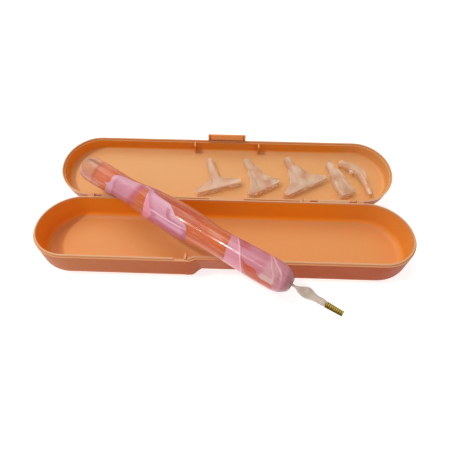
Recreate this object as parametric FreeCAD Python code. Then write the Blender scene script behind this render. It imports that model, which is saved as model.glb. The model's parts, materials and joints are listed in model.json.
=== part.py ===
"""Hinged storage case holding an applicator pen and five spare placing heads.

Frame, millimetres: origin on the underside of the case base at its centre,
X along the case, Y from the front of the base towards the hinge, Z up.
The lid and everything in it is drawn in a flat lid frame first: X along the
case, Y away from the hinge, Z out of the tray, zero on the lid's rim plane.
"""
import math
import os

import FreeCAD
import Part

# Case base
CASE_LENGTH = 190.0
CASE_RADIUS = 20.0
WALL = 1.4
FLOOR = 1.4
LEDGE_Z = 15.2
BASE_OUTER_FILLET = 4.5
BASE_INNER_FILLET = 3.4
TONGUE_HEIGHT = 0.95
TONGUE_INSET = 0.7
RIM_GAP = 0.1

# Latch recess in the front wall of the base: a lip, and a scoop leaning in under it
RECESS_OUTER = 15.2
RECESS_INNER = 12.0
RECESS_DEPTH = 1.3
SCOOP_TOP_DEPTH = 1.9
SCOOP_FOOT_DEPTH = 5.8
SCOOP_FOOT_OUTER = 16.3
SCOOP_FOOT_INNER = 10.3
LIP_HEIGHT = 1.1
STEP_SLOPE = 0.3
TONGUE_GAP_HALF = 22.6

# Stiffening ribs beside the latch
BASE_RIB_X = 17.1
BASE_RIB_REACH = 2.6
RIB_THICKNESS = 1.0
LID_RIB_X = 19.2
LID_RIB_REACH = 2.8
LID_RIB_THICKNESS = 0.8

# Lid
LID_WALL = 1.2
LID_FLOOR = 1.2
LID_DEPTH = 9.4
LID_OUTER_FILLET = 3.0
LID_INNER_FILLET = 1.8
LIP_THICKNESS = 0.58
LIP_REBATE = 1.2

# Hinge: axis behind and just below the rim of the base
HINGE_OUT = 1.45
HINGE_DROP = 1.13
OPEN_ANGLE = 165.5
PIN_RADIUS = 0.65
PIN_RUNNING_CLEARANCE = 0.07
KNUCKLE_RADIUS = 1.35
HINGE_CENTRES = (-58.8, 58.8)
LID_KNUCKLE_HALF = 8.5
BASE_KNUCKLE_INNER = 12.6
BASE_KNUCKLE_WIDTH = 3.4
FLANGE_HALF = 42.0
FLANGE_THICKNESS = 1.2
FLANGE_SLOTS = ((-40.7, -8.4), (10.4, 40.7))

# Snap latch on the far edge of the lid
LATCH_HALF = 11.1
LATCH_STANDOFF = 1.35
LATCH_THICKNESS = 0.9
LATCH_ABOVE_RIM = 3.9
LATCH_BELOW_RIM = 2.6
LATCH_HOOK_REACH = 2.35
LATCH_GAP = 0.15
LATCH_HOOK_HALF = 9.6
LATCH_CREST = 1.0
LATCH_NOSE_TOP = 1.8
LATCH_NOSE_FOOT = 1.3

# Pen: back end, front end and height of its axis
PEN_BACK = (-75.97, 34.76)
PEN_FRONT = (29.6, -34.43)
PEN_AXIS_Z = LEDGE_Z + TONGUE_HEIGHT + 6.65
PEN_PROFILE = (
    (0.7, 6.2), (2.6, 6.7), (6.0, 6.9), (15.6, 6.8), (25.6, 6.35), (35.7, 6.5),
    (45.8, 7.6), (55.8, 8.12), (65.9, 8.17), (75.9, 7.55), (86.0, 6.42), (96.0, 6.34),
    (106.1, 6.58), (116.2, 6.63), (119.8, 6.4), (122.3, 5.9), (124.3, 4.8),
)
PEN_BACK_RIM = 5.5
PEN_FRONT_RIM = 2.9
PEN_END_BORE = 2.3
SLEEVE_OUTER = 2.9
REAR_SLEEVE_LENGTH = 7.7
FRONT_SLEEVE_START = 111.0
FRONT_SLEEVE_LENGTH = 7.6

# Nib holder and brass tip, distances along the pen from its back end
NIB_PLUG_RADIUS = 2.24
NIB_PLUG_START = 111.5
NIB_NECK_RADIUS = 0.55
NIB_BULB = (
    (128.2, 0.0, 0.55), (129.9, -0.3, 1.35), (131.8, 0.0, 2.15), (133.7, 0.42, 2.4),
    (135.6, 0.2, 1.85), (137.8, 0.05, 1.42), (141.4, 0.0, 1.22),
)
NIB_STUB_RADIUS = 0.75
NIB_STUB_END = 145.4
TIP_START = 141.5
TIP_LENGTH = 7.2
TIP_RADIUS = 1.4
TIP_END_RADIUS = 1.15
TIP_BORE = 0.8
TIP_MOUTH_RADIUS = 0.9
TIP_MOUTH_DEPTH = 2.6
TIP_RIB_PITCH = 0.8
TIP_RIB_HEIGHT = 0.13

# Placing heads lying in the lid: tip bar, web and stem
HEAD_CLEARANCE = 0.2
HEAD_BAR_THICKNESS = 4.2
HEAD_BAR_HEIGHT = 2.6
HEAD_WEB_THICKNESS = 2.8
STEM_RADIUS = 2.24
CUP_RADIUS = 1.05
CUP_DEPTH = 0.45
CUP_PITCH = 2.9

V = FreeCAD.Vector
X_AXIS = V(1, 0, 0)
Y_AXIS = V(0, 1, 0)
Z_AXIS = V(0, 0, 1)
HINGE_Y = CASE_RADIUS + HINGE_OUT
HINGE_Z = LEDGE_Z - HINGE_DROP
LID_TILT = 180.0 - OPEN_ANGLE
LID_AXIS_H = HINGE_DROP + RIM_GAP


def stadium(length, radius, z_low, z_high):
    """Prism with straight sides and semicircular ends, centred on the origin."""
    half = length / 2.0 - radius
    corners = (V(-half, -radius, z_low), V(half, -radius, z_low))
    backs = (V(half, radius, z_low), V(-half, radius, z_low))
    right = Part.Arc(corners[1], V(half + radius, 0, z_low), backs[0]).toShape()
    left = Part.Arc(backs[1], V(-half - radius, 0, z_low), corners[0]).toShape()
    front = Part.makeLine(corners[0], corners[1])
    back = Part.makeLine(backs[0], backs[1])
    wire = Part.Wire([front, right, back, left])
    return Part.Face(wire).extrude(V(0, 0, z_high - z_low))


def rounded_stadium(length, radius, z_low, z_high, fillet):
    """Stadium prism with a fillet round its lower edge."""
    solid = stadium(length, radius, z_low, z_high)
    low = [e for e in solid.Edges if abs(e.BoundBox.ZMax - z_low) < 1e-6]
    return solid.makeFillet(fillet, low)


def prism_yz(points, x_low, x_high):
    """Extrude a polygon given in Y and Z along X."""
    ring = [V(x_low, y, z) for y, z in points]
    wire = Part.makePolygon(ring + [ring[0]])
    return Part.Face(wire).extrude(V(x_high - x_low, 0, 0))


def box(x0, x1, y0, y1, z0, z1):
    """Axis-aligned block between two corners."""
    return Part.makeBox(x1 - x0, y1 - y0, z1 - z0, V(x0, y0, z0))


def rod_x(radius, x_low, x_high, y, z):
    """Cylinder along X."""
    return Part.makeCylinder(radius, x_high - x_low, V(x_low, y, z), X_AXIS)


def s_curve(start, end):
    """Smooth step between two points, nearly along X at both ends."""
    middle = (start.x + end.x) / 2.0
    rise = STEP_SLOPE * (end.y - start.y)
    bend = V(middle, start.y + rise, start.z)
    arrive = V(middle, end.y - rise, end.z)
    curve = Part.BezierCurve()
    curve.setPoles([start, bend, arrive, end])
    return curve.toShape()


def recess_outline(grow, depth, outer, inner, z):
    """Closed outline of the recess at one height, grown by a wall thickness."""
    front = -CASE_RADIUS - 5.0
    mouth = -CASE_RADIUS + grow
    face = mouth + depth
    side = outer + grow * 0.7
    flat = inner + grow * 0.7
    corner_left = V(-side, mouth, z)
    corner_right = V(side, mouth, z)
    face_left = V(-flat, face, z)
    face_right = V(flat, face, z)
    return Part.Wire([
        Part.makeLine(V(-side, front, z), corner_left), s_curve(corner_left, face_left),
        Part.makeLine(face_left, face_right), s_curve(face_right, corner_right),
        Part.makeLine(corner_right, V(side, front, z)),
        Part.makeLine(V(side, front, z), V(-side, front, z)),
    ])


def lip_recess(grow, z_low, z_high):
    """Upright part of the recess, from the lip to the rim."""
    wire = recess_outline(grow, RECESS_DEPTH, RECESS_OUTER, RECESS_INNER, z_low)
    return Part.Face(wire).extrude(V(0, 0, z_high - z_low))


def scoop(grow, z_top):
    """Leaning part of the recess, deeper towards the foot of the wall."""
    foot = recess_outline(grow, SCOOP_FOOT_DEPTH, SCOOP_FOOT_OUTER, SCOOP_FOOT_INNER, 0.0)
    top = recess_outline(grow, SCOOP_TOP_DEPTH, RECESS_OUTER, RECESS_INNER, z_top)
    return Part.makeLoft([foot, top], True, True)


def base_body():
    """Tray with a raised tongue round the rim and the latch recess."""
    lip_z = LEDGE_Z - LIP_HEIGHT
    outer = rounded_stadium(CASE_LENGTH, CASE_RADIUS, 0.0, LEDGE_Z, BASE_OUTER_FILLET)
    tongue = stadium(CASE_LENGTH - 2 * TONGUE_INSET, CASE_RADIUS - TONGUE_INSET,
                     LEDGE_Z - 0.5, LEDGE_Z + TONGUE_HEIGHT)
    tongue = tongue.cut(lip_recess(TONGUE_INSET, 0.0, LEDGE_Z + 5.0))
    for side in (-1, 1):
        near = side * (RECESS_OUTER + 0.7)
        far = side * TONGUE_GAP_HALF
        tongue = tongue.cut(box(min(near, far), max(near, far), -CASE_RADIUS, -CASE_RADIUS + 3.0,
                                LEDGE_Z, LEDGE_Z + 5.0))
    outer = outer.cut(lip_recess(0.0, lip_z, LEDGE_Z + 5.0))
    outer = outer.cut(scoop(0.0, lip_z))
    cavity = rounded_stadium(CASE_LENGTH - 2 * WALL, CASE_RADIUS - WALL, FLOOR,
                             LEDGE_Z + 5.0, BASE_INNER_FILLET)
    cavity = cavity.cut(scoop(WALL, lip_z + 0.5))
    cavity = cavity.cut(lip_recess(WALL, lip_z, LEDGE_Z + 6.0))
    return outer.fuse(tongue).cut(cavity)


def base_ribs():
    """Upright ribs inside the front wall, either side of the recess."""
    ribs = []
    y_wall = -CASE_RADIUS + WALL
    for side in (-1, 1):
        x = side * BASE_RIB_X
        ribs.append(box(x - RIB_THICKNESS / 2, x + RIB_THICKNESS / 2, y_wall - 0.4,
                        y_wall + BASE_RIB_REACH, FLOOR - 0.2, LEDGE_Z + TONGUE_HEIGHT))
    return ribs


def base_knuckles():
    """Outer hinge knuckles on the back wall, bored for the pins."""
    profile = (
        (HINGE_Y - 1.75, HINGE_Z + 0.5), (HINGE_Y - 1.75, HINGE_Z - 3.8),
        (HINGE_Y - 1.2, HINGE_Z - 3.8), (HINGE_Y + 0.95, HINGE_Z - 0.95),
        (HINGE_Y - 0.2, HINGE_Z + 1.2),
    )
    knuckles = []
    for centre in HINGE_CENTRES:
        for side in (-1, 1):
            ends = (centre + side * BASE_KNUCKLE_INNER,
                    centre + side * (BASE_KNUCKLE_INNER + BASE_KNUCKLE_WIDTH))
            low = min(ends)
            high = max(ends)
            web = prism_yz(profile, low, high)
            barrel = rod_x(KNUCKLE_RADIUS, low, high, HINGE_Y, HINGE_Z)
            bore = rod_x(PIN_RADIUS, low - 1, high + 1, HINGE_Y, HINGE_Z)
            knuckles.append(web.fuse(barrel).cut(bore))
    return knuckles


def base_flange():
    """Slotted strip along the back of the rim between the hinges."""
    y_wall = CASE_RADIUS
    strip = box(-FLANGE_HALF, FLANGE_HALF, y_wall - 0.4, y_wall + 1.3,
                LEDGE_Z - FLANGE_THICKNESS, LEDGE_Z)
    for low, high in FLANGE_SLOTS:
        strip = strip.cut(box(low, high, y_wall + 0.2, y_wall + 0.85, 0, LEDGE_Z + 1))
    return strip


def make_base_tray():
    """Case base in one piece."""
    parts = base_ribs() + base_knuckles() + [base_flange()]
    return base_body().multiFuse(parts).removeSplitter()


def make_hinge_pin(centre):
    """Moulded pin, pressed into the base knuckles."""
    half = BASE_KNUCKLE_INNER + BASE_KNUCKLE_WIDTH
    pin = rod_x(PIN_RADIUS, centre - half, centre + half, HINGE_Y, HINGE_Z)
    return pin.makeChamfer(0.15, [e for e in pin.Edges if e.Closed])


def place_lid(shape):
    """Move a shape from the flat lid frame to the opened lid."""
    moved = shape.copy()
    moved.translate(V(0, HINGE_OUT, -LID_AXIS_H))
    moved.rotate(V(0, 0, 0), X_AXIS, LID_TILT)
    moved.translate(V(0, HINGE_Y, HINGE_Z))
    return moved


def lid_body():
    """Shallow tray with a rebate that drops over the tongue of the base."""
    centre = V(0, CASE_RADIUS, 0)
    outer = rounded_stadium(CASE_LENGTH, CASE_RADIUS, -LID_DEPTH, 0.0, LID_OUTER_FILLET)
    cavity = rounded_stadium(CASE_LENGTH - 2 * LID_WALL, CASE_RADIUS - LID_WALL,
                             LID_FLOOR - LID_DEPTH, 5.0, LID_INNER_FILLET)
    rebate = stadium(CASE_LENGTH - 2 * LIP_THICKNESS, CASE_RADIUS - LIP_THICKNESS,
                     -LIP_REBATE, 5.0)
    tray = outer.cut(cavity).cut(rebate)
    tray.translate(centre)
    return tray


def lid_ribs():
    """Full-height ribs inside the far wall, either side of the latch."""
    ribs = []
    y_wall = 2 * CASE_RADIUS - LID_WALL
    for side in (-1, 1):
        x = side * LID_RIB_X
        ribs.append(box(x - LID_RIB_THICKNESS / 2, x + LID_RIB_THICKNESS / 2,
                        y_wall - LID_RIB_REACH, y_wall + 0.4,
                        LID_FLOOR - LID_DEPTH - 0.2, -LIP_REBATE))
    return ribs


def lid_knuckles():
    """Centre hinge knuckles on the near wall, bored to run on the pins."""
    axis_y = -HINGE_OUT
    profile = (
        (0.5, -0.05), (-0.2, -0.05), (-0.2, LID_AXIS_H), (-2.3, 0.2),
        (-0.25, -2.3), (0.5, -2.3),
    )
    bore_radius = PIN_RADIUS + PIN_RUNNING_CLEARANCE
    knuckles = []
    for centre in HINGE_CENTRES:
        low = centre - LID_KNUCKLE_HALF
        high = centre + LID_KNUCKLE_HALF
        web = prism_yz(profile, low, high)
        barrel = rod_x(KNUCKLE_RADIUS, low, high, axis_y, LID_AXIS_H)
        bore = rod_x(bore_radius, low - 1, high + 1, axis_y, LID_AXIS_H)
        knuckles.append(web.fuse(barrel).cut(bore))
    return knuckles


def make_lid_shell():
    """Lid tray, ribs, knuckles and near flange, opened about the hinge."""
    flange = box(-FLANGE_HALF, FLANGE_HALF, -1.2, 0.4, -FLANGE_THICKNESS, 0.0)
    parts = lid_ribs() + lid_knuckles() + [flange]
    return place_lid(lid_body().multiFuse(parts).removeSplitter())


def make_lid_latch():
    """Snap tab standing off the far wall: plate, sloping hook and two gussets."""
    wall_y = 2 * CASE_RADIUS
    back = wall_y + LATCH_STANDOFF
    face = back - LATCH_THICKNESS
    near = wall_y + LATCH_GAP
    nose = back - LATCH_HOOK_REACH
    crest = back - LATCH_CREST
    foot = -LATCH_BELOW_RIM
    plate = box(-LATCH_HALF, LATCH_HALF, face, back, foot, LATCH_ABOVE_RIM)
    root = box(-LATCH_HALF, LATCH_HALF, near, back, foot, foot + LATCH_THICKNESS)
    hook_profile = (
        (back, LATCH_ABOVE_RIM), (crest, LATCH_ABOVE_RIM), (nose, LATCH_NOSE_TOP),
        (nose, LATCH_NOSE_FOOT), (back, LATCH_NOSE_FOOT),
    )
    gusset_profile = (
        (back, LATCH_ABOVE_RIM), (crest, LATCH_ABOVE_RIM), (nose, LATCH_NOSE_TOP),
        (nose, 0.2), (near, 0.2), (near, foot), (back, foot),
    )
    hook = prism_yz(hook_profile, -LATCH_HOOK_HALF, LATCH_HOOK_HALF)
    inner = LATCH_HALF - LATCH_THICKNESS
    gussets = [prism_yz(gusset_profile, -LATCH_HALF, -inner),
               prism_yz(gusset_profile, inner, LATCH_HALF)]
    tab = plate.multiFuse([root, hook] + gussets).removeSplitter()
    corner = []
    for edge in tab.Edges:
        span = edge.BoundBox
        if abs(span.YMin - back) < 1e-6 and abs(span.ZMin - LATCH_ABOVE_RIM) < 1e-6:
            corner.append(edge)
    return place_lid(tab.makeFillet(0.5, corner))


def place_pen(shape):
    """Lay a shape drawn along X from the back end onto the pen's axis."""
    angle = math.degrees(math.atan2(PEN_FRONT[1] - PEN_BACK[1], PEN_FRONT[0] - PEN_BACK[0]))
    moved = shape.copy()
    moved.rotate(V(0, 0, 0), Z_AXIS, angle)
    moved.translate(V(PEN_BACK[0], PEN_BACK[1], PEN_AXIS_Z))
    return moved


def pen_length():
    """Distance between the two ends of the barrel."""
    return math.hypot(PEN_FRONT[0] - PEN_BACK[0], PEN_FRONT[1] - PEN_BACK[1])


def rod(radius, start, end):
    """Cylinder on the pen's axis."""
    return Part.makeCylinder(radius, end - start, V(start, 0, 0), X_AXIS)


def make_pen_barrel():
    """Turned barrel with a waist either side of the grip and a bore in each end."""
    length = pen_length()
    curve = Part.BSplineCurve()
    curve.interpolate([V(s, 0, r) for s, r in PEN_PROFILE])
    first = V(PEN_PROFILE[0][0], 0, PEN_PROFILE[0][1])
    last = V(PEN_PROFILE[-1][0], 0, PEN_PROFILE[-1][1])
    back_rim = V(0, 0, PEN_BACK_RIM)
    front_rim = V(length, 0, PEN_FRONT_RIM)
    back_round = Part.Arc(back_rim, V(0.2, 0, 5.9), first).toShape()
    front_round = Part.Arc(last, V(length - 0.75, 0, 3.9), front_rim).toShape()
    edges = [
        Part.makeLine(V(0, 0, 0), back_rim), back_round, curve.toShape(), front_round,
        Part.makeLine(front_rim, V(length, 0, 0)), Part.makeLine(V(length, 0, 0), V(0, 0, 0)),
    ]
    barrel = Part.Face(Part.Wire(edges)).revolve(V(0, 0, 0), X_AXIS, 360)
    front_sleeve_end = FRONT_SLEEVE_START + FRONT_SLEEVE_LENGTH
    barrel = barrel.cut(rod(SLEEVE_OUTER, -1.0, REAR_SLEEVE_LENGTH))
    barrel = barrel.cut(rod(SLEEVE_OUTER, FRONT_SLEEVE_START, front_sleeve_end))
    barrel = barrel.cut(rod(PEN_END_BORE, FRONT_SLEEVE_START, length + 1.0))
    return place_pen(barrel)


def make_sleeve(start, end):
    """Metal sleeve cast into one end of the barrel."""
    return place_pen(rod(SLEEVE_OUTER, start, end).cut(rod(PEN_END_BORE, start - 1, end + 1)))


def make_nib_holder():
    """Plug, thin neck, leaf-shaped bulb and the stub that carries the tip."""
    length = pen_length()
    plug = rod(NIB_PLUG_RADIUS, NIB_PLUG_START, length - 0.4)
    plug = plug.makeChamfer(0.4, [e for e in plug.Edges if e.Closed])
    neck = rod(NIB_NECK_RADIUS, length - 0.9, NIB_BULB[0][0] + 0.3)
    rings = []
    for s, offset, radius in NIB_BULB:
        rings.append(Part.Wire([Part.makeCircle(radius, V(s, 0, offset), X_AXIS)]))
    bulb = Part.makeLoft(rings, True, False)
    stub = rod(NIB_STUB_RADIUS, NIB_BULB[-1][0] - 0.3, NIB_STUB_END)
    return place_pen(plug.multiFuse([neck, bulb, stub]).removeSplitter())


def make_brass_tip():
    """Ribbed tube with an open mouth that picks up one gem."""
    end = TIP_START + TIP_LENGTH
    tube = Part.makeCone(TIP_RADIUS - TIP_RIB_HEIGHT, TIP_END_RADIUS - TIP_RIB_HEIGHT,
                         TIP_LENGTH, V(TIP_START, 0, 0), X_AXIS)
    count = int(TIP_LENGTH / TIP_RIB_PITCH)
    taper = (TIP_END_RADIUS - TIP_RADIUS) / TIP_LENGTH
    ribs = []
    for index in range(count):
        offset = 0.3 + index * TIP_RIB_PITCH
        start = TIP_START + offset
        ribs.append(rod(TIP_RADIUS + taper * offset, start, start + TIP_RIB_PITCH * 0.55))
    tube = tube.multiFuse(ribs).cut(rod(TIP_BORE, TIP_START - 1, end + 1))
    return place_pen(tube.cut(rod(TIP_MOUTH_RADIUS, end - TIP_MOUTH_DEPTH, end + 1)))


def outline_face(points, thickness, height):
    """Symmetric outline given as half-width and height, extruded about a mid plane."""
    right = Part.BSplineCurve()
    right.interpolate([V(w, h, height - thickness / 2) for w, h in points])
    left = Part.BSplineCurve()
    left.interpolate([V(-w, h, height - thickness / 2) for w, h in reversed(points)])
    bottom = Part.makeLine(V(-points[0][0], points[0][1], height - thickness / 2),
                           V(points[0][0], points[0][1], height - thickness / 2))
    top = Part.makeLine(V(points[-1][0], points[-1][1], height - thickness / 2),
                        V(-points[-1][0], points[-1][1], height - thickness / 2))
    wire = Part.Wire([bottom, right.toShape(), top, left.toShape()])
    return Part.Face(wire).extrude(V(0, 0, thickness))


def cups(count, height):
    """Row of round cups along the placing edge."""
    tools = []
    for index in range(count):
        x = (index - (count - 1) / 2.0) * CUP_PITCH
        tools.append(Part.makeCylinder(CUP_RADIUS, CUP_DEPTH, V(x, 0, height), Y_AXIS))
    return tools


def make_head(half_width, web, total, stem_low, count, tip_x, tip_y, lean):
    """Placing head: bar with cups, web and round stem, laid on the lid floor."""
    height = HEAD_CLEARANCE + STEM_RADIUS
    bar = box(-half_width, half_width, 0, HEAD_BAR_HEIGHT,
              height - HEAD_BAR_THICKNESS / 2, height + HEAD_BAR_THICKNESS / 2)
    upright = [e for e in bar.Edges if e.BoundBox.ZLength > 1]
    bar = bar.makeFillet(0.7, upright)
    for tool in cups(count, height):
        bar = bar.cut(tool)
    shoulder = HEAD_BAR_HEIGHT - 0.2
    cone_end = shoulder + total * 0.45
    cone = Part.makeCone(stem_low, STEM_RADIUS, cone_end - shoulder, V(0, shoulder, height), Y_AXIS)
    shank = Part.makeCylinder(STEM_RADIUS, total - cone_end, V(0, cone_end, height), Y_AXIS)
    top_edge = [e for e in shank.Edges if e.BoundBox.YMin > total - 0.01]
    shank = shank.makeChamfer(0.5, top_edge)
    slab = box(-9, 9, 0, total + 1, HEAD_CLEARANCE, height + HEAD_BAR_THICKNESS / 2 - 0.05)
    stem = cone.fuse(shank).removeSplitter().common(slab)
    body = outline_face(web, HEAD_WEB_THICKNESS, height)
    head = bar.multiFuse([body, stem]).removeSplitter()
    head.rotate(V(0, 0, 0), Z_AXIS, lean)
    head.translate(V(tip_x, tip_y, LID_FLOOR - LID_DEPTH))
    return place_lid(head)


def make_head_t():
    """Wide straight head, nine cups."""
    web = ((13.4, 2.0), (10.6, 3.6), (7.4, 4.9), (4.6, 6.0), (3.1, 7.2), (1.7, 9.0))
    return make_head(13.7, web, 21.6, 3.6, 9, -3.9, 9.1, 18.0)


def make_head_fan_small():
    """Curved fan head, seven cups."""
    web = ((9.8, 2.0), (8.6, 3.8), (6.7, 5.8), (5.0, 8.6), (4.1, 11.6), (3.5, 14.4), (1.7, 16.4))
    return make_head(10.1, web, 23.3, 3.4, 7, 22.8, 9.3, 28.0)


def make_head_fan_large():
    """Wide curved fan head, nine cups."""
    web = ((13.6, 2.2), (11.6, 4.0), (8.6, 5.6), (6.2, 8.0), (4.7, 11.2), (3.6, 14.4), (1.7, 16.6))
    return make_head(13.9, web, 23.2, 3.4, 9, 46.8, 11.0, 27.6)


def make_head_chisel():
    """Narrow head, three cups."""
    web = ((3.9, 1.7), (4.0, 5.0), (3.9, 9.0), (3.6, 13.0), (2.9, 16.4), (1.5, 18.8))
    return make_head(4.3, web, 23.7, 3.0, 3, 70.3, 7.3, 22.5)


def make_head_bent():
    """Bent tapering nozzle with a small nub under the knee."""
    path = (
        (67.9, 29.2, 0.92, -0.39, 2.24), (72.3, 27.4, 0.92, -0.39, 2.4),
        (76.3, 25.3, 0.84, -0.54, 2.75), (79.1, 22.4, 0.5, -0.87, 2.6),
        (80.5, 18.6, 0.25, -0.97, 2.15), (81.8, 13.4, 0.22, -0.98, 1.6),
        (83.0, 8.0, 0.22, -0.98, 1.05),
    )
    height = HEAD_CLEARANCE + max(point[4] for point in path)
    rings = []
    for x, y, dx, dy, radius in path:
        rings.append(Part.Wire([Part.makeCircle(radius, V(x, y, height), V(dx, dy, 0))]))
    tube = Part.makeLoft(rings, True, False)
    nub = Part.makeCylinder(1.0, 3.2, V(74.6, 25.0, height), V(-0.35, -0.937, 0))
    end = path[-1]
    mouth = Part.makeCylinder(0.6, 3.0, V(end[0], end[1], height), V(-end[2], -end[3], 0))
    nozzle = tube.fuse(nub).cut(mouth)
    nozzle.translate(V(0, 0, LID_FLOOR - LID_DEPTH))
    return place_lid(nozzle)


def export_all():
    """Write one STEP file per piece."""
    os.makedirs("parts", exist_ok=True)
    front_end = FRONT_SLEEVE_START + FRONT_SLEEVE_LENGTH
    pieces = {
        "base_tray": make_base_tray(),
        "hinge_pin_left": make_hinge_pin(HINGE_CENTRES[0]),
        "hinge_pin_right": make_hinge_pin(HINGE_CENTRES[1]),
        "lid_shell": make_lid_shell(),
        "lid_latch": make_lid_latch(),
        "pen_barrel": make_pen_barrel(),
        "rear_sleeve": make_sleeve(0.0, REAR_SLEEVE_LENGTH),
        "front_sleeve": make_sleeve(FRONT_SLEEVE_START, front_end),
        "nib_holder": make_nib_holder(),
        "brass_tip": make_brass_tip(),
        "head_t": make_head_t(),
        "head_fan_small": make_head_fan_small(),
        "head_fan_large": make_head_fan_large(),
        "head_chisel": make_head_chisel(),
        "head_bent": make_head_bent(),
    }
    for name, shape in pieces.items():
        shape.exportStep(os.path.join("parts", name + ".step"))


export_all()
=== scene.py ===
import json
import math

import bpy
from mathutils import Matrix, Vector


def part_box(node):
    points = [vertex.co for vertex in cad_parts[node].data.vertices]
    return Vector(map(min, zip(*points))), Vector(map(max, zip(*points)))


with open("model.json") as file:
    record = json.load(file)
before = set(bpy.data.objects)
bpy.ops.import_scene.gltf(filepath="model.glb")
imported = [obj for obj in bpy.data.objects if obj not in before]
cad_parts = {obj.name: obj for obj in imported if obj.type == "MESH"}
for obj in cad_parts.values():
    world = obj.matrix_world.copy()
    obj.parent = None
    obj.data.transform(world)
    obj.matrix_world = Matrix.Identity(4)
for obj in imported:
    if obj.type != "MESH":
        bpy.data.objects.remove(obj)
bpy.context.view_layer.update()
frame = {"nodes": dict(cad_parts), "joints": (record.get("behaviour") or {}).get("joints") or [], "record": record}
nodes = frame["nodes"]
joints = {joint["name"]: joint for joint in frame["joints"]}
rear_socket = next(mount for mount in frame["record"]["mounts"] if mount["name"] == "rear_socket")

MM = 0.001


# ---------------------------------------------------------------- camera
CAMERA_SPOT = Vector((3.92, -100.97, 142.16)) * MM
CAMERA_PITCH = math.radians(50.81)
CAMERA_YAW = math.radians(-1.711)
CAMERA_ROLL = math.radians(0.297)
CAMERA_LENS = 25.86
CAMERA_SENSOR = 36.0
CAMERA_NEAR = 0.005
CAMERA_FAR = 20.0


def make_camera():
    """Wide lens looking down on the open case from in front."""
    ahead = Vector((math.sin(CAMERA_YAW) * math.cos(CAMERA_PITCH),
                    math.cos(CAMERA_YAW) * math.cos(CAMERA_PITCH), -math.sin(CAMERA_PITCH)))
    level = Vector((math.cos(CAMERA_YAW), -math.sin(CAMERA_YAW), 0.0))
    over = level.cross(ahead)
    side = level * math.cos(CAMERA_ROLL) + over * math.sin(CAMERA_ROLL)
    top = over * math.cos(CAMERA_ROLL) - level * math.sin(CAMERA_ROLL)
    cam = bpy.data.objects.new("camera", bpy.data.cameras.new("camera"))
    cam.data.lens = CAMERA_LENS
    cam.data.sensor_width = CAMERA_SENSOR
    cam.data.clip_start = CAMERA_NEAR
    cam.data.clip_end = CAMERA_FAR
    rows = [(side[i], top[i], -ahead[i]) for i in range(3)]
    cam.matrix_world = Matrix.Translation(CAMERA_SPOT) @ Matrix(rows).to_4x4()
    bpy.context.scene.collection.objects.link(cam)
    bpy.context.scene.camera = cam


make_camera()


# ---------------------------------------------------------------- node helpers
def srgb(red, green, blue):
    """Linear colour from 0-255 display values."""
    def linear(value):
        value /= 255.0
        return value / 12.92 if value <= 0.04045 else ((value + 0.055) / 1.055) ** 2.4
    return (linear(red), linear(green), linear(blue))


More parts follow.
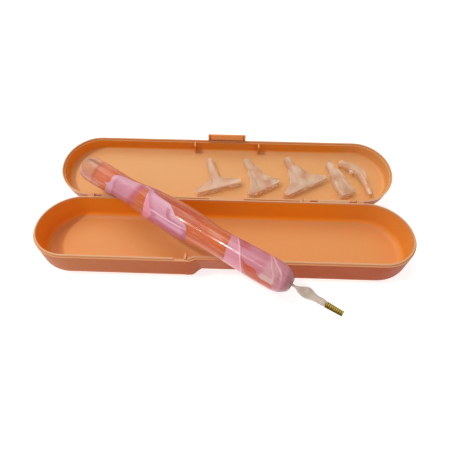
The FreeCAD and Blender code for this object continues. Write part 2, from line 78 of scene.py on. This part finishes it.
class Graph:
    """Small wrapper that makes and links the nodes of one material."""

    def __init__(self, name):
        self.mat = bpy.data.materials.new(name)
        self.mat.use_nodes = True
        self.tree = self.mat.node_tree
        self.tree.nodes.clear()
        out = self.tree.nodes.new("ShaderNodeOutputMaterial")
        self.bsdf = self.tree.nodes.new("ShaderNodeBsdfPrincipled")
        self.tree.links.new(self.bsdf.outputs[0], out.inputs["Surface"])
        coord = self.tree.nodes.new("ShaderNodeTexCoord")
        self.place = coord.outputs["Object"]
        self.normal = coord.outputs["Normal"]

    def put(self, socket, value):
        """Link a socket, or set its constant."""
        if isinstance(value, bpy.types.NodeSocket):
            self.tree.links.new(value, socket)
        elif socket.type == "RGBA":
            socket.default_value = (*value, 1.0)
        else:
            socket.default_value = value

    def shade(self, **values):
        """Set inputs of the shader by name."""
        for key, value in values.items():
            self.put(self.bsdf.inputs[key.replace("_", " ")], value)

    def math(self, op, a, b=0.0):
        """One arithmetic step on two values."""
        node = self.tree.nodes.new("ShaderNodeMath")
        node.operation = op
        self.put(node.inputs[0], a)
        self.put(node.inputs[1], b)
        return node.outputs[0]

    def product(self, *values):
        """Multiply several masks."""
        total = values[0]
        for value in values[1:]:
            total = self.math("MULTIPLY", total, value)
        return total

    def dot(self, a, b):
        """Dot product of two vectors."""
        node = self.tree.nodes.new("ShaderNodeVectorMath")
        node.operation = "DOT_PRODUCT"
        self.put(node.inputs[0], a)
        self.put(node.inputs[1], b)
        return node.outputs["Value"]

    def join(self, x, y, z):
        """Vector from three values."""
        node = self.tree.nodes.new("ShaderNodeCombineXYZ")
        for socket, value in zip(node.inputs, (x, y, z)):
            self.put(socket, value)
        return node.outputs[0]

    def noise(self, scale, detail=3.0, rough=0.55, stretch=(1, 1, 1), distort=0.0, place=None):
        """Cloudy pattern between 0 and 1, in the piece's own coordinates unless place is given."""
        mapping = self.tree.nodes.new("ShaderNodeMapping")
        mapping.inputs["Scale"].default_value = stretch
        self.put(mapping.inputs["Vector"], place or self.place)
        node = self.tree.nodes.new("ShaderNodeTexNoise")
        node.inputs["Scale"].default_value = scale
        node.inputs["Detail"].default_value = detail
        node.inputs["Roughness"].default_value = rough
        node.inputs["Distortion"].default_value = distort
        self.put(node.inputs["Vector"], mapping.outputs["Vector"])
        return node.outputs["Fac"]

    def span(self, value, low, high, low_out=0.0, high_out=1.0, kind="SMOOTHSTEP"):
        """Map a range of values onto another, clamped."""
        node = self.tree.nodes.new("ShaderNodeMapRange")
        node.interpolation_type = kind
        self.put(node.inputs["Value"], value)
        node.inputs["From Min"].default_value = low
        node.inputs["From Max"].default_value = high
        node.inputs["To Min"].default_value = low_out
        node.inputs["To Max"].default_value = high_out
        return node.outputs["Result"]

    def curve(self, value, points):
        """Smooth function through a few points, flat beyond its ends."""
        low = points[0][0]
        high = points[-1][0]
        floor = min(y for x, y in points) - 1.0
        ceiling = max(y for x, y in points) + 1.0
        node = self.tree.nodes.new("ShaderNodeFloatCurve")
        line = node.mapping.curves[0]
        spots = [((x - low) / (high - low), (y - floor) / (ceiling - floor)) for x, y in points]
        line.points[0].location = spots[0]
        line.points[1].location = spots[-1]
        for x, y in spots[1:-1]:
            line.points.new(x, y)
        node.mapping.update()
        self.put(node.inputs["Value"], self.span(value, low, high, kind="LINEAR"))
        return self.span(node.outputs[0], 0.0, 1.0, floor, ceiling, "LINEAR")

    def mix(self, amount, a, b):
        """Blend two colours."""
        node = self.tree.nodes.new("ShaderNodeMix")
        node.data_type = "RGBA"
        self.put(node.inputs["Factor"], amount)
        sockets = [s for s in node.inputs if s.type == "RGBA"]
        self.put(sockets[0], a)
        self.put(sockets[1], b)
        return [s for s in node.outputs if s.type == "RGBA"][0]

    def bump(self, height, strength, distance):
        """Fine relief on the shader's normal."""
        node = self.tree.nodes.new("ShaderNodeBump")
        node.inputs["Strength"].default_value = strength
        node.inputs["Distance"].default_value = distance
        self.put(node.inputs["Height"], height)
        self.put(self.bsdf.inputs["Normal"], node.outputs["Normal"])


def dress(node, mat):
    """Give a CAD node one material."""
    mesh = nodes[node].data
    mesh.materials.clear()
    mesh.materials.append(mat)


# ---------------------------------------------------------------- case plastic
LID_NORMAL = Vector(joints["spare_t_lift"]["axis"])
LID_HINGE = Vector(joints["lid_hinge"]["pos_m"])
LID_AXIS_TO_RIM = -1.23 * MM
LID_CENTRE_Y = 41.5 * MM
RIM_FADE_START = 1.4 * MM
RIM_FADE_END = 0.5 * MM
STRAIGHT_HALF = 75.0 * MM
# The case tones are lit and shaded copies of one peach plastic: painted light and shade.
CASE_RIM_HIGHLIGHT = (220, 170, 130)
BASE_TONES = {"inner": (252, 152, 22), "lit": (230, 158, 72), "shaded_outer": (172, 74, 20),
              "floor": (224, 156, 92), "rim": CASE_RIM_HIGHLIGHT}
LID_TONES = {"inner": (240, 146, 34), "lit": (230, 172, 104), "shaded_outer": (188, 100, 42),
             "floor": (226, 170, 110), "rim": CASE_RIM_HIGHLIGHT}
LATCH_TONES = {"inner": (252, 172, 92), "lit": (252, 172, 92), "shaded_outer": (226, 132, 58),
               "floor": (228, 168, 104), "rim": (238, 152, 84)}


def case_material(name, normal, rim_height, centre_y, tones):
    """Translucent peach plastic with painted light and shade: deeper on upright walls as painted bounce light,
    darker on walls facing outward as painted shade, paler on flat faces as painted light and paler at the rims as
    a painted highlight.
    """
    g = Graph(name)
    inner, lit, shaded_outer, floor, rim = (srgb(*tones[key]) for key in ("inner", "lit", "shaded_outer", "floor", "rim"))
    # Flat faces take the paler floor tone as painted light; upright walls keep the deeper tone as painted bounce
    # light.
    flat = g.span(g.math("ABSOLUTE", g.dot(g.normal, normal)), 0.5, 0.9)
    x = g.dot(g.place, (1, 0, 0))
    end_x = g.math("SUBTRACT", x, g.math("MAXIMUM", g.math("MINIMUM", x, STRAIGHT_HALF), -STRAIGHT_HALF))
    side_y = g.math("SUBTRACT", g.dot(g.place, (0, 1, 0)), centre_y)
    outward = g.span(g.dot(g.normal, g.join(end_x, side_y, 0.0)), -0.002, 0.002)
    cloud = g.span(g.noise(24.0, 2.0, 0.5), 0.3, 0.7)
    # Inner walls towards the right end turn to the lit tone: painted key light falling on them.
    inner = g.mix(g.product(g.span(x, 0.055, 0.09), 0.8), inner, lit)
    inner = g.mix(g.product(cloud, 0.2), inner, floor)
    # Walls facing outward get the darker tone as painted shade, paler towards the left end as painted light.
    shaded_outer = g.mix(g.product(g.span(x, 0.03, -0.08), 0.25), shaded_outer, floor)
    base = g.mix(flat, g.mix(outward, inner, shaded_outer), floor)
    height = g.dot(g.place, normal)
    # Faces near the rim height take the rim tone, pale on base and lid: a painted highlight.
    near_rim = g.span(height, rim_height - RIM_FADE_START, rim_height - RIM_FADE_END)
    base = g.mix(g.product(near_rim, 0.85), base, rim)
    speck = g.span(g.noise(1100.0, 2.0, 0.5), 0.66, 0.78, 0.0, 0.35)
    base = g.mix(speck, base, rim)
    g.shade(Base_Color=base, IOR=1.49, Specular_IOR_Level=0.2, Subsurface_Weight=0.2, Subsurface_Scale=1.0,
            Subsurface_Radius=(0.003, 0.0012, 0.0005))
    g.shade(Roughness=g.span(g.noise(180.0, 3.0), 0.3, 0.7, 0.38, 0.5))
    g.bump(g.noise(700.0, 3.0), 0.06, 0.0002)
    return g.mat


def dress_case():
    """Base, lid and latch, each with its own tones, tilt and rim height."""
    base_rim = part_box("base_tray")[1][2]
    lid_rim = LID_HINGE.dot(LID_NORMAL) + LID_AXIS_TO_RIM
    lid_place = (tuple(LID_NORMAL), lid_rim, LID_CENTRE_Y)
    dress("base_tray", case_material("case_base_plastic", (0, 0, 1), base_rim, 0.0, BASE_TONES))
    dress("lid_shell", case_material("case_lid_plastic", *lid_place, LID_TONES))
    dress("lid_latch", case_material("latch_plastic", *lid_place, LATCH_TONES))


def pin_material():
    """Orange moulded rod with a fine grain along it."""
    g = Graph("hinge_pin_plastic")
    grain = g.span(g.noise(500.0, 3.0, 0.6, (0.2, 1, 1)), 0.3, 0.7)
    g.shade(Base_Color=g.mix(grain, srgb(170, 70, 22), srgb(196, 92, 38)))
    g.shade(Roughness=g.span(grain, 0.0, 1.0, 0.4, 0.55))
    g.bump(grain, 0.1, 0.0001)
    return g.mat


dress_case()
pin_plastic = pin_material()
dress("hinge_pin_left", pin_plastic)
dress("hinge_pin_right", pin_plastic)


# ---------------------------------------------------------------- pen
PEN_AXIS = Vector(joints["nib_pull"]["axis"])
SOCKET_HALF = rear_socket["dims"]["length_mm"] / 2 * MM
PEN_BACK = Vector(rear_socket["pos_m"]) + Vector(rear_socket["axis"]) * SOCKET_HALF
# Across and depth are fixed in the pen, square to its axis.
# Depth points to the side that the photograph shows, and the veils lean about as the view of it does.
UP = Vector((0.0, 0.0, 1.0))
LEVEL = UP.cross(PEN_AXIS)
SWIRL_ROLL = math.radians(30.29)
SWIRL_ACROSS = LEVEL * math.cos(SWIRL_ROLL) + UP * math.sin(SWIRL_ROLL)
SWIRL_DEPTH = UP * math.cos(SWIRL_ROLL) - LEVEL * math.sin(SWIRL_ROLL)
SWIRL_LEAN = 0.5
TIP_START = 141.5
TIP_RIB_PITCH = 0.8
FAR = 9.0


def pen_millimetres(g, direction):
    """Distance from the pen's back end along a direction, in millimetres."""
    offset = g.math("SUBTRACT", g.dot(g.place, direction), PEN_BACK.dot(direction))
    return g.math("MULTIPLY", offset, 1000.0)


class Marble:
    """Veils of pigment in amber resin, as sheets that lean back through the pen.

    s runs along the pen and t across it, both in millimetres.
    """

    def __init__(self, g):
        self.g = g
        depth = pen_millimetres(g, SWIRL_DEPTH)
        hidden = g.span(depth, 1.0, -4.0, 0.2, 3.0)
        sway = g.math("SUBTRACT", g.noise(150.0, 3.0, 0.5), 0.5)
        drift = g.math("SUBTRACT", g.noise(210.0, 3.0, 0.5, (1.3, 0.9, 1.1)), 0.5)
        self.s = g.math("SUBTRACT", pen_millimetres(g, PEN_AXIS), g.product(depth, SWIRL_LEAN))
        self.s = g.math("ADD", self.s, g.product(sway, hidden, 2.4))
        self.t = g.math("ADD", pen_millimetres(g, SWIRL_ACROSS), g.product(drift, hidden, 1.5))
        self.colour = srgb(*AMBER)
        self.solid = AMBER_HAZE

    def past(self, soft, *points):
        """Mask beyond a border across the pen, given as (t, s)."""
        gap = self.g.math("SUBTRACT", self.s, self.g.curve(self.t, points))
        return self.g.span(gap, -soft, soft)

    def before(self, soft, *points):
        """Mask short of a border across the pen, given as (t, s)."""
        return self.g.math("SUBTRACT", 1.0, self.past(soft, *points))

    def below(self, soft, *points):
        """Mask under a border along the pen, given as (s, t)."""
        gap = self.g.math("SUBTRACT", self.g.curve(self.s, points), self.t)
        return self.g.span(gap, -soft, soft)

    def above(self, soft, *points):
        """Mask over a border along the pen, given as (s, t)."""
        return self.g.math("SUBTRACT", 1.0, self.below(soft, *points))

    def crease(self, width, *points):
        """Thin line across the pen through (t, s)."""
        gap = self.g.math("SUBTRACT", self.s, self.g.curve(self.t, points))
        return self.g.span(self.g.math("ABSOLUTE", gap), width, 0.0)

    def streak(self, width, *points):
        """Thin line along the pen through (s, t), fading at its ends."""
        gap = self.g.math("SUBTRACT", self.g.curve(self.s, points), self.t)
        line = self.g.span(self.g.math("ABSOLUTE", gap), width, 0.0)
        return self.g.product(line, self.between(self.s, points[0][0], points[-1][0], 1.2))

    def between(self, value, low, high, soft):
        """Mask of a band of s or of t."""
        rise = self.g.span(value, low - soft, low + soft)
        fall = self.g.span(value, high + soft, high - soft)
        return self.g.product(rise, fall)

    def paint(self, mask, colour, amount=1.0, solid=None):
        """Lay a colour over the mask, and optionally set how opaque it is there."""
        mask = self.g.product(mask, amount)
        self.colour = self.g.mix(mask, self.colour, srgb(*colour))
        if solid is not None:
            keep = self.g.product(self.g.math("SUBTRACT", 1.0, mask), self.solid)
            self.solid = self.g.math("ADD", keep, self.g.product(mask, solid))


AMBER = (236, 112, 34)
AMBER_HAZE = 0.62
ROSE = (198, 124, 142)
LILAC = (214, 158, 178)
BRIGHT_PINK = (228, 138, 156)
DEEP_ROSE = (186, 76, 84)
SHADED_ROSE = (186, 98, 120)


def paint_amber(m):
    """Darker and lighter streaks in the clear resin, with painted light along its top edge and painted reflections
    along its bottom edge.
    """
    g = m.g
    # Light band along the bottom edge at the back: painted reflection.
    m.paint(m.below(0.8, (0, -4.2), (20, -4.8)), (240, 152, 108), 0.6)
    # Lighter band along the top edge: painted light.
    top_edge_light = m.above(0.6, (44, 6.7), (62, 6.8), (74, 6.2), (94, 4.6))
    m.paint(g.product(top_edge_light, m.between(m.s, 50, 96, 2.0)), (238, 140, 100), 0.7)
    m.paint(g.product(m.between(m.t, 1.0, 6.6, 0.7), m.between(m.s, 50, 76, 3.0)), (216, 82, 16), 0.85)
    m.paint(m.streak(1.1, (70, -3.6), (80, -3.4), (95, -4.0)), (218, 88, 24), 0.9)
    m.paint(m.streak(1.5, (81, 2.9), (85, 2.6), (89, 2.2)), (244, 164, 124), 0.8)
    m.paint(m.streak(0.5, (74, -2.0), (84, -2.4), (94, -3.0)), (244, 166, 122), 0.6)
    # Light line along the bottom edge at the front: painted reflection.
    m.paint(m.streak(0.6, (72, -5.8), (82, -5.3), (95, -5.6)), (244, 160, 124), 0.7)


def paint_back_end(m):
    """Paler resin over the bright sleeve, with a brown band of painted shade along its top and a rosy edge."""
    g = m.g
    m.paint(m.between(m.s, 7.0, 18.0, 2.5), (238, 140, 98), 0.55)
    end = m.before(1.2, (-FAR, 7.6), (FAR, 7.6))
    m.paint(end, (250, 184, 134), 0.9, 0.5)
    # Brown band along the top of the sleeve zone: painted shade.
    m.paint(g.product(end, m.between(m.t, 3.6, 5.0, 0.5)), (160, 100, 68), 0.9, 0.8)
    m.paint(m.streak(1.7, (-4, -3.2), (1, -3.7), (9, -3.6)), (200, 98, 98), 0.9, 0.9)
    m.paint(m.between(m.s, 7.8, 9.6, 0.6), (204, 98, 74), 0.6)


def paint_first_veil(m):
    """Mauve veil behind the waist, with a folded edge."""
    g = m.g
    edge = ((-FAR, 18.6), (-6, 18.6), (-3.4, 19.0), (-2.7, 17.6), (-2.2, 17.4), (-1.4, 19.8), (3, 20.2),
            (5, 24), (FAR, 30))
    top = ((18, 2.4), (20.5, 3.4), (22, 4.2), (25, 4.8), (32, 5.4), (36, 6.0), (44, 6.6))
    end = ((-FAR, 37.6), (-5.5, 38.1), (-3, 38.7), (0, 39.0), (3, 39.8), (5, 41.2), (FAR, 44))
    veil = g.product(m.past(0.5, *edge), m.below(0.35, *top), m.before(0.5, *end))
    m.paint(veil, ROSE, 1.0, 1.0)
    lip = m.before(1.2, (-FAR, 21.5), (-3, 23), (1, 22), (5, 27), (FAR, 30))
    m.paint(g.product(veil, lip), LILAC, 0.8)
    hollow = m.crease(1.3, (-FAR, 23), (-3, 24), (1, 22.9), (4, 23.5), (FAR, 26))
    m.paint(g.product(veil, hollow), SHADED_ROSE, 0.7)
    m.paint(g.product(veil, m.above(1.6, (18, 2.4), (30, 2.6), (44, 3.4))), (220, 158, 176), 0.7)
    m.paint(g.product(veil, m.past(1.8, (-FAR, 34.2), (0, 35.4), (FAR, 38.2))), DEEP_ROSE, 0.95)


def paint_petal(m):
    """Folded pink petal on the swell of the grip."""
    g = m.g
    left = ((-FAR, 46.6), (-6, 46.2), (-4, 45.8), (-2, 45.0), (0, 44.4), (4, 43.5), (FAR, 43))
    roof = ((42, 6.6), (46, 5.3), (52, 4.7), (57.5, 4.0), (60, 2.7), (64, 0.1), (69, -0.6), (70.4, -1.3),
            (73, -5.2), (75, -FAR))
    petal = g.product(m.past(0.25, *left), m.below(0.3, *roof))
    crown = m.between(m.s, 40.0, 49.6, 0.8)
    m.paint(g.product(crown, m.above(0.35, (40, 6.0), (44, 5.3), (50, 4.9))), DEEP_ROSE, 1.0, 0.9)
    m.paint(g.product(crown, m.streak(0.9, (38, 6.6), (42, 6.0), (46, 5.6))), LILAC, 0.9)
    m.paint(petal, (206, 138, 158), 1.0, 1.0)
    ridge = m.above(1.2, (44, 3.8), (52, 3.0), (58, 1.8), (64, -1.4), (72, -3.0))
    m.paint(g.product(petal, ridge), LILAC, 0.8)
    fold = ((-FAR, 62), (-2.2, 60.2), (-1.5, 59.0), (0, 58.0), (1.5, 57.4), (3.4, 55), (5, 50), (FAR, 45))
    shade = g.product(m.past(0.2, *fold), m.before(1.2, *[(t, s + 2.2) for t, s in fold]))
    inside = g.product(m.above(0.4, (45, -2.3), (70, -2.3)), m.below(0.5, (45, 2.0), (70, 2.0)))
    m.paint(g.product(petal, shade, inside), SHADED_ROSE, 1.0)
    wedge = ((-FAR, 49), (-6.4, 50.6), (-4.6, 51.4), (-3.5, 50.6), (-1.2, 48), (1, 46), (3.8, 43.8),
             (FAR, 41))
    # Darker mauve band just past the wedge: painted shade next to it.
    wedge_shade = g.product(m.past(0.2, *wedge), m.before(1.8, *[(t, s + 2.2) for t, s in wedge]))
    m.paint(g.product(petal, wedge_shade), (192, 112, 134), 0.9)
    m.paint(g.product(petal, m.before(0.3, *wedge)), BRIGHT_PINK, 1.0)
    lower = g.product(petal, m.past(0.5, *wedge), m.below(0.35, (45, -2.8), (60, -3.2), (70, -3.0)))
    m.paint(lower, (196, 114, 138), 0.95)
    m.paint(g.product(lower, m.streak(1.5, (54, -4.2), (62, -4.6), (72, -4.4))), (218, 158, 182), 0.8)
    m.paint(g.product(lower, m.below(1.0, (46, -5.6), (74, -6.0))), (192, 98, 120), 0.8)
    m.paint(g.product(lower, m.past(1.5, (-FAR, 71), (FAR, 69))), (182, 88, 108), 0.9)
    m.paint(g.product(petal, m.streak(0.55, (50, -2.6), (60, -3.0), (69, -2.8))), (238, 192, 206), 1.0)
    m.paint(g.product(petal, m.streak(0.6, (60, -1.9), (65, -2.1), (70, -2.0))), SHADED_ROSE, 0.8)


def paint_front(m):
    """Rose front end with a light fold across it."""
    g = m.g
    start = ((-FAR, 96), (-5.5, 94.5), (-2, 93), (0, 92.5), (5, 92.2), (FAR, 92))
    m.paint(m.past(0.3, *start), (208, 130, 144), 1.0, 1.0)
    belly = m.below(1.5, (90, -3.4), (104, -3.8))
    m.paint(g.product(m.past(0.5, (-FAR, 94), (FAR, 94)), belly), (224, 142, 156), 0.8)
    fold = ((-FAR, 107), (-6.3, 104.4), (-4.5, 102.6), (-2, 100.4), (0.5, 98.8), (3, 97.3), (5.8, 95.8),
            (FAR, 94))
    behind = m.past(0.3, *fold)
    m.paint(behind, (194, 112, 128), 1.0)
    corner = g.product(m.before(2.0, (-FAR, 100), (FAR, 103)), m.above(1.4, (95, 2.6), (106, 3.8)))
    m.paint(g.product(behind, corner), DEEP_ROSE, 0.9)
    m.paint(m.crease(0.5, *[(t, s + 0.8) for t, s in fold]), (184, 84, 104), 0.9)
    m.paint(m.crease(0.6, *fold), (236, 180, 190), 0.9)


def paint_front_sleeve(m):
    """Silvery speckled patch over the front sleeve, with two light swirls and a darker cone."""
    g = m.g
    mottle = g.span(g.noise(2400.0, 2.0, 0.6), 0.35, 0.65)
    silver = g.product(m.between(m.s, 111.4, 118.0, 1.4), m.between(m.t, -4.2, 4.2, 1.0))
    m.paint(silver, (208, 148, 152), 0.35, 0.9)
    m.paint(g.product(silver, mottle), (224, 190, 176), 0.35)
    glint = g.product(m.between(m.s, 110.8, 117.4, 0.5), m.between(m.t, -4.2, -2.2, 0.35))
    m.paint(glint, (214, 172, 164), 0.8)
    outer_swirl = m.crease(0.9, (-FAR, 122), (-4, 121), (-1, 119.6), (2, 118), (4.4, 115), (FAR, 112))
    m.paint(outer_swirl, (234, 182, 190), 0.9)
    inner_swirl = m.crease(0.6, (-FAR, 116.6), (-4, 117), (-1, 116), (2, 113.6), (4.4, 112.8), (FAR, 112))
    m.paint(inner_swirl, (228, 176, 182), 0.7)
    smudge = g.product(m.between(m.s, 117.2, 119.0, 0.7), m.between(m.t, -2.6, 1.2, 0.8))
    m.paint(smudge, (178, 116, 116), 0.7)
    m.paint(m.past(1.0, (-FAR, 119.2), (FAR, 119.6)), (196, 122, 136), 0.9)
    m.paint(m.past(1.0, (-FAR, 121.8), (FAR, 121.2)), (160, 92, 100), 0.9)


def paint_window(m):
    """Amber window under the rose front end."""
    left = m.past(0.3, (-FAR, 109), (-6.2, 106.6), (-4.5, 104), (-3, 102.5), (-1, 101), (FAR, 101))
    top = m.below(0.3, (100.5, -0.4), (103, -1.8), (108, -2.3), (111.5, -4.3), (117, -4.4), (119, -5.6))
    bottom = m.above(0.3, (100, -6.1), (120, -6.1))
    right = m.before(0.5, (-FAR, 119), (FAR, 119))
    m.paint(m.g.product(left, top, bottom, right), (212, 82, 34), 1.0, 0.8)


def resin_material():
    """Marbled cast resin: pink veils in clear amber."""
    g = Graph("pen_resin_marbled")
    m = Marble(g)
    paint_amber(m)
    paint_back_end(m)
    paint_first_veil(m)
    paint_petal(m)
    paint_front(m)
    paint_front_sleeve(m)
    paint_window(m)
    threads = g.noise(1.0, 3.0, 0.6, place=g.join(g.product(m.s, 0.05), g.product(m.t, 1.1), 0.0))
    open_resin = g.span(m.solid, 0.8, 0.6)
    m.paint(g.product(g.span(threads, 0.52, 0.68), open_resin), (248, 168, 120), 0.55)
    m.paint(g.product(g.span(threads, 0.46, 0.32), open_resin), (204, 78, 20), 0.55)
    flow = g.join(g.product(m.s, 0.12), m.t, 0.0)
    silk = g.span(g.noise(1.4, 4.0, 0.6, place=flow, distort=0.6), 0.3, 0.7)
    colour = g.mix(g.product(silk, 0.15), m.colour, srgb(244, 200, 190))
    clear = g.math("SUBTRACT", 1.0, m.solid)
    g.shade(Base_Color=colour, Transmission_Weight=clear, IOR=1.35, Coat_Weight=0.35, Coat_Roughness=0.03)
    g.shade(Roughness=g.span(m.solid, 0.1, 1.0, 0.05, 0.3))
    g.bump(g.noise(90.0, 2.0), 0.05, 0.0005)
    return g.mat


dress("pen_barrel", resin_material())


# ---------------------------------------------------------------- metals
def metal_material(name, dark, light, rough, scale):
    """Turned metal with fine rings round the pen's axis."""
    g = Graph(name)
    along = pen_millimetres(g, PEN_AXIS)
    rings = g.noise(scale, 3.0, 0.6, place=g.join(along, 0.0, 0.0))
    cloud = g.noise(300.0, 3.0, 0.6)
    tone = g.span(g.math("ADD", g.product(rings, 0.5), g.product(cloud, 0.5)), 0.35, 0.65)
    g.shade(Base_Color=g.mix(tone, dark, light), Metallic=1.0)
    g.shade(Roughness=g.span(tone, 0.0, 1.0, rough + 0.1, rough))
    g.bump(rings, 0.15, 0.0001)
    return g.mat


sleeve_metal = metal_material("sleeve_metal", srgb(196, 158, 120), srgb(232, 202, 162), 0.45, 3.0)
dress("rear_sleeve", sleeve_metal)
dress("front_sleeve", sleeve_metal)


def brass_material():
    """Ribbed brass, dark in the grooves and darker on its lower side as painted shade, with a blotchy edge."""
    g = Graph("tip_brass")
    along = g.math("SUBTRACT", pen_millimetres(g, PEN_AXIS), TIP_START)
    phase = g.math("FRACT", g.math("DIVIDE", along, TIP_RIB_PITCH))
    wave = g.math("ABSOLUTE", g.math("SUBTRACT", phase, 0.5))
    groove = g.span(wave, 0.22, 0.42)
    # Darker on the lower side: painted shade, its edge made blotchy by noise.
    under = g.dot(g.normal, tuple(-SWIRL_ACROSS))
    spots = g.span(g.noise(900.0, 3.0, 0.6), 0.3, 0.7, -0.25, 0.25)
    shaded_underside = g.span(g.math("ADD", under, spots), -0.05, 0.6)
    colour = g.mix(shaded_underside, srgb(240, 206, 96), srgb(112, 80, 24))
    colour = g.mix(g.product(groove, 0.85), colour, srgb(58, 42, 12))
    g.shade(Base_Color=colour, Metallic=1.0)
    g.shade(Roughness=g.span(shaded_underside, 0.0, 1.0, 0.22, 0.42))
    g.bump(g.noise(900.0, 3.0), 0.1, 0.0001)
    return g.mat


dress("brass_tip", brass_material())


# ---------------------------------------------------------------- frosted plastics
def frosted_material(name, tint, deep, clear, rough):
    """Frosted translucent plastic with a cloudy core."""
    g = Graph(name)
    cloud = g.span(g.noise(170.0, 3.0, 0.5), 0.3, 0.7)
    g.shade(Base_Color=g.mix(cloud, deep, tint), IOR=1.2, Coat_Weight=0.4, Coat_Roughness=0.12)
    g.shade(Transmission_Weight=g.span(cloud, 0.0, 1.0, clear + 0.1, clear - 0.15))
    g.shade(Sheen_Weight=0.5, Sheen_Roughness=0.35)
    g.shade(Roughness=g.span(g.noise(420.0, 3.0), 0.3, 0.7, rough, rough + 0.12))
    g.bump(g.noise(260.0, 2.0), 0.04, 0.0002)
    return g.mat


head_plastic = frosted_material("head_plastic", srgb(255, 242, 220), srgb(255, 228, 198), 0.72, 0.34)
for head in ("head_t", "head_fan_small", "head_fan_large", "head_chisel", "head_bent"):
    dress(head, head_plastic)
dress("nib_holder", frosted_material("nib_plastic", srgb(210, 192, 176), srgb(192, 172, 156), 0.15, 0.32))


# ---------------------------------------------------------------- stage
FLOOR_HALF = 3.0
FLOOR_DROP = 0.3 * MM
KEY_SPOT = Vector((-0.485, -0.12, 0.79))
ROW_STEP = Vector((0.045, -0.04, 0.013))
TOP_SPOT = Vector((-0.30, 0.40, 0.85))
LIGHT_TARGET = Vector((0, 0.015, 0.01))


def make_stage():
    """Plain pale floor just under the case."""
    mesh = bpy.data.meshes.new("floor")
    corners = [(x * FLOOR_HALF, y * FLOOR_HALF, 0) for x, y in ((-1, -1), (1, -1), (1, 1), (-1, 1))]
    mesh.from_pydata(corners, [], [(0, 1, 2, 3)])
    floor = bpy.data.objects.new("floor", mesh)
    floor.location.z = -FLOOR_DROP
    bpy.context.scene.collection.objects.link(floor)
    g = Graph("floor_paper")
    g.shade(Base_Color=g.mix(g.noise(3.0), (0.50, 0.50, 0.50), (0.54, 0.54, 0.54)), Roughness=0.9,
            Emission_Color=(1, 1, 1), Emission_Strength=0.72)
    mesh.materials.append(g.mat)


def area_light(name, spot, size, power):
    """Round white lamp aimed at the case."""
    data = bpy.data.lights.new(name, "AREA")
    data.shape = "DISK"
    data.size = size
    data.energy = power
    lamp = bpy.data.objects.new(name, data)
    lamp.location = spot
    lamp.rotation_euler = (LIGHT_TARGET - spot).to_track_quat("-Z", "Y").to_euler()
    bpy.context.scene.collection.objects.link(lamp)


def make_lights():
    """White studio: even surround, a compact key and three small lamps at the left, a broad top light."""
    world = bpy.data.worlds.new("studio")
    world.use_nodes = True
    back = world.node_tree.nodes["Background"]
    back.inputs["Color"].default_value = (1, 1, 1, 1)
    back.inputs["Strength"].default_value = 0.52
    bpy.context.scene.world = world
    area_light("key", KEY_SPOT, 0.06, 2.3)
    for step in (1, 2, 3):
        area_light("row_%d" % step, KEY_SPOT + step * ROW_STEP, 0.025, 0.12)
    area_light("top", TOP_SPOT, 0.8, 3.0)


make_stage()
make_lights()
view = bpy.context.scene.view_settings
view.view_transform = "Standard"
view.look = "None"
